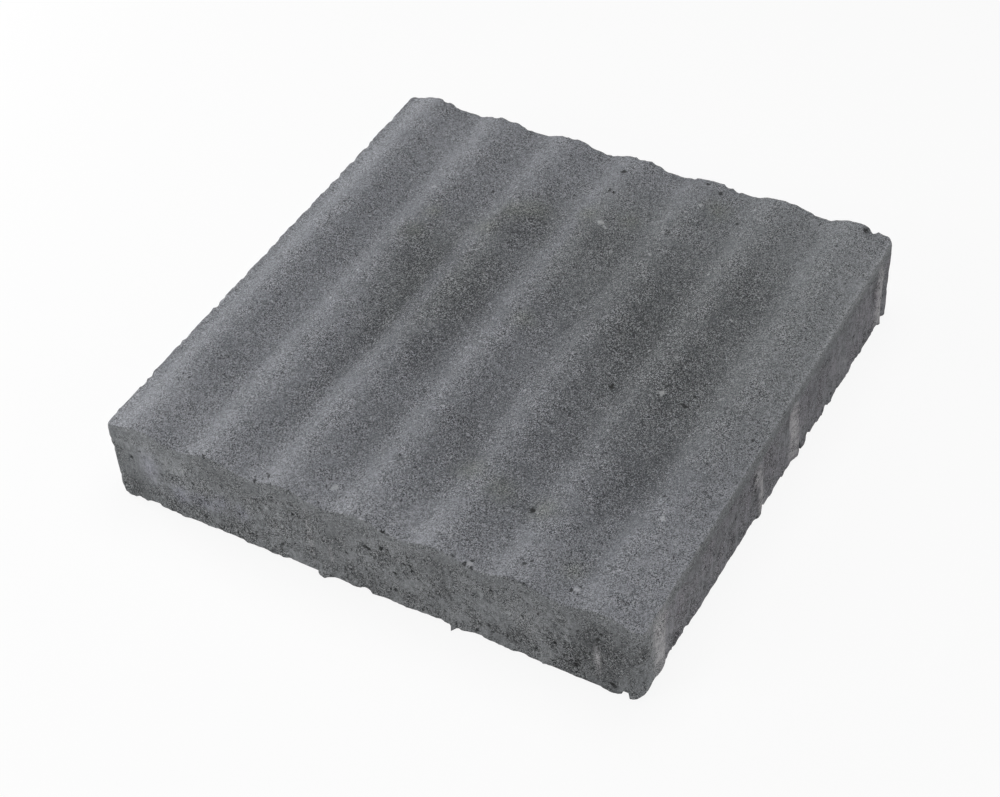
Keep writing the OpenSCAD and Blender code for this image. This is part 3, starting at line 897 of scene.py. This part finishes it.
# Layers of colour, from the first to the last: what steers it, the value where it
# starts and the value where it is full, the field it keeps to, its strength, its colour.
LAYERS = [
    ("clouds", 0.35, 0.65, "everywhere", 1.0, "7A7D80"),
    ("body", 0, 1, "everywhere", 1.0, "676A6D"),
    ("skirt", 0, 1, "everywhere", 0.45, "55585A"),
    ("mottle", 0.5, 0.3, "everywhere", 0.3, "5C5F60"),
    ("open_zone", 0, 1, "everywhere", 0.5, "484B4D"),
    ("paste", 0.53, 0.57, "body", 0.4, "919496"),
    ("paste", 0.47, 0.41, "body", 0.5, "505355"),
    ("smeared", SMEAR_START, SMEAR_FULL, "body", 0.5, "919496"),
    ("drag", 0.52, 0.64, "body", 0.35, "A0A3A5"),
    ("drag", 0.48, 0.36, "body", 0.4, "44474A"),
    ("coarse", 0.5, 0.66, "everywhere", 0.16, "A5A7AA"),
    ("coarse", 0.5, 0.34, "everywhere", 0.26, "3B3E40"),
    ("lumps", 0.5, 0.66, "everywhere", 0.1, "A5A7AA"),
    ("lumps", 0.5, 0.34, "everywhere", 0.16, "3B3E40"),
    # Dark patches: damp and dirt, with painted shade on the right flanks of the ribs.
    ("damp_and_shade", 0, 1, "everywhere", 0.93, "303335"),
    ("mottle", 0.62, 0.42, "damp_and_shade", 0.4, "2D3032"),
    # Light patches: paler concrete, with painted highlights on lit flanks, edges and arrises.
    ("pale_and_highlit", 0, 1, "everywhere", 0.4, "A5A7AA"),
    ("coarse", 0.4, 0.6, "pale_and_highlit", 0.6, "A8AAAC"),
    # Painted highlights on the nibs.
    ("nib_highlight", 0, 1, "everywhere", 0.8, "B8B6B8"),
    ("coarse", 0.42, 0.54, "nib_highlight", 0.8, "D0CED0"),
    ("sand", 0.55, 0.82, "sandy", 0.52, "BFC1C3"),
    ("sand", 0.45, 0.18, "sandy", 0.88, "242627"),
    ("flecks", 0.085, 0.06, "everywhere", 0.6, "B4B6B8"),
    ("gaps", 0.09, 0.065, "everywhere", 0.75, "222425"),
    ("gaps", 0.15, 0.11, "body", 0.7, "222425"),
    ("pores", 0.52, 0.57, "open_zone", 0.9, "1A1B1C"),
    ("pores", 0.58, 0.63, "crumbly", 0.5, "262829"),
]
print(len(TEXTURES), "textures,", len(LAYERS), "layers")

# %% [markdown]
# ## The concrete's nodes
# Cement stone has an IOR of about 1.5 and a roughness near 0.9, so it is matt from every
# side. The colour is built up in a loop over the layers. Two bumps give the grains and
# the coarse lumps of the body, which are too fine for the mesh.

# %% Concrete material
def pressed_concrete():
    """Grey pressed concrete: a fine facing over a coarser body, stained and pitted."""
    material, output = new_material("pressed_concrete")
    tree = material.node_tree
    coordinates = add_node(tree, "ShaderNodeTexCoord")
    to_mm = (1000, 1000, 1000)
    place = add_node(tree, "ShaderNodeVectorMath", {0: coordinates.outputs["Object"], 1: to_mm},
                     operation="MULTIPLY").outputs[0]

    steer = {"everywhere": 1.0}
    for name in fields:
        steer[name] = add_node(tree, "ShaderNodeAttribute", attribute_name=name).outputs["Fac"]
    for name, (size, detail, squeeze) in TEXTURES.items():
        squeezed = add_node(tree, "ShaderNodeVectorMath", {0: place, 1: squeeze}, operation="MULTIPLY")
        steer[name] = add_node(tree, "ShaderNodeTexNoise", {
            "Vector": squeezed.outputs[0], "Scale": 1 / size, "Detail": detail,
            "Roughness": 0.6}).outputs[0]
    # Sand hardly shows through the smears.
    bare = add_node(tree, "ShaderNodeMapRange", {
        "Value": steer["smeared"], "From Min": SMEAR_START, "From Max": SMEAR_FULL,
        "To Min": 1.05, "To Max": 0.45})
    steer["sandy"] = add_node(tree, "ShaderNodeMath", {0: steer["sandy"], 1: bare.outputs[0]},
                              operation="MULTIPLY").outputs[0]
    sand = add_node(tree, "ShaderNodeTexVoronoi", {"Vector": place, "Scale": 1 / SAND})
    steer["sand"] = sand.outputs["Color"]
    warp = add_node(tree, "ShaderNodeTexNoise", {"Vector": place, "Scale": 0.6, "Detail": 2.0})
    warped = add_node(tree, "ShaderNodeVectorMath", {
        0: warp.outputs["Color"], 1: (WARP, WARP, WARP), 2: place}, operation="MULTIPLY_ADD").outputs[0]
    for name, apart in DOTS.items():
        dots = add_node(tree, "ShaderNodeTexVoronoi", {"Vector": warped, "Scale": 1 / apart})
        steer[name] = dots.outputs["Distance"]

    colour = linear("717477")
    for name, start, full, where, strength, paint in LAYERS:
        share = add_node(tree, "ShaderNodeMapRange", {
            "Value": steer[name], "From Min": start, "From Max": full, "To Max": strength})
        kept = add_node(tree, "ShaderNodeMath", {0: share.outputs[0], 1: steer[where]},
                        operation="MULTIPLY")
        colour = add_node(tree, "ShaderNodeMix", {0: kept.outputs[0], 6: colour, 7: linear(paint)},
                          data_type="RGBA").outputs[2]

    # Deep hollows get painted shade inside, and knobs are light pebbles.
    for x, y, z, radius, depth in MARKS:
        if depth >= SHADED_HOLLOW_DEPTH or depth < 0:
            warped_middle = (x + WARP / 2, y + WARP / 2, z + WARP / 2)
            away = add_node(tree, "ShaderNodeVectorMath", {0: warped, 1: warped_middle},
                            operation="DISTANCE")
            inside = add_node(tree, "ShaderNodeMapRange", {
                "Value": away.outputs["Value"], "From Min": radius, "From Max": 0.6 * radius,
                "To Max": min(abs(depth) / 1.5, 0.95)})
            colour = add_node(tree, "ShaderNodeMix", {
                0: inside.outputs[0], 6: colour, 7: linear("1A1B1B" if depth > 0 else "B9BBBC")},
                data_type="RGBA").outputs[2]
    tint = add_node(tree, "ShaderNodeAttribute", attribute_name="tint").outputs["Color"]
    colour = add_node(tree, "ShaderNodeMix", {0: 1.0, 6: colour, 7: tint}, data_type="RGBA",
                      blend_type="MULTIPLY").outputs[2]

    grains = add_node(tree, "ShaderNodeBump", {
        "Height": sand.outputs["Distance"], "Distance": -GRAIN_BUMP * MM, "Strength": steer["sandy"]})
    rough = add_node(tree, "ShaderNodeMapRange", {"Value": steer["body"], "To Min": 0.2, "To Max": 0.8})
    lumps = add_node(tree, "ShaderNodeBump", {
        "Height": steer["coarse"], "Distance": LUMP_BUMP * MM, "Strength": rough.outputs[0],
        "Normal": grains.outputs[0]})
    shader = add_node(tree, "ShaderNodeBsdfPrincipled", {
        "Base Color": colour, "Roughness": 0.9, "IOR": 1.5, "Normal": lumps.outputs[0]})
    tree.links.new(shader.outputs[0], output.inputs["Surface"])
    return material


skin.materials.append(pressed_concrete())
slab = bpy.data.objects.new("concrete_slab", skin)
bpy.context.scene.collection.objects.link(slab)
slab.data.shade_smooth()
print("material:", skin.materials[0].name, "with", len(skin.materials[0].node_tree.nodes), "nodes")

# %% [markdown]
# ## Fixing the skin to the plain slab
# The skin stands for the plain solid, and rides on the one body that there is.

# %% Finish
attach(slab, "root")
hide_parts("slab")
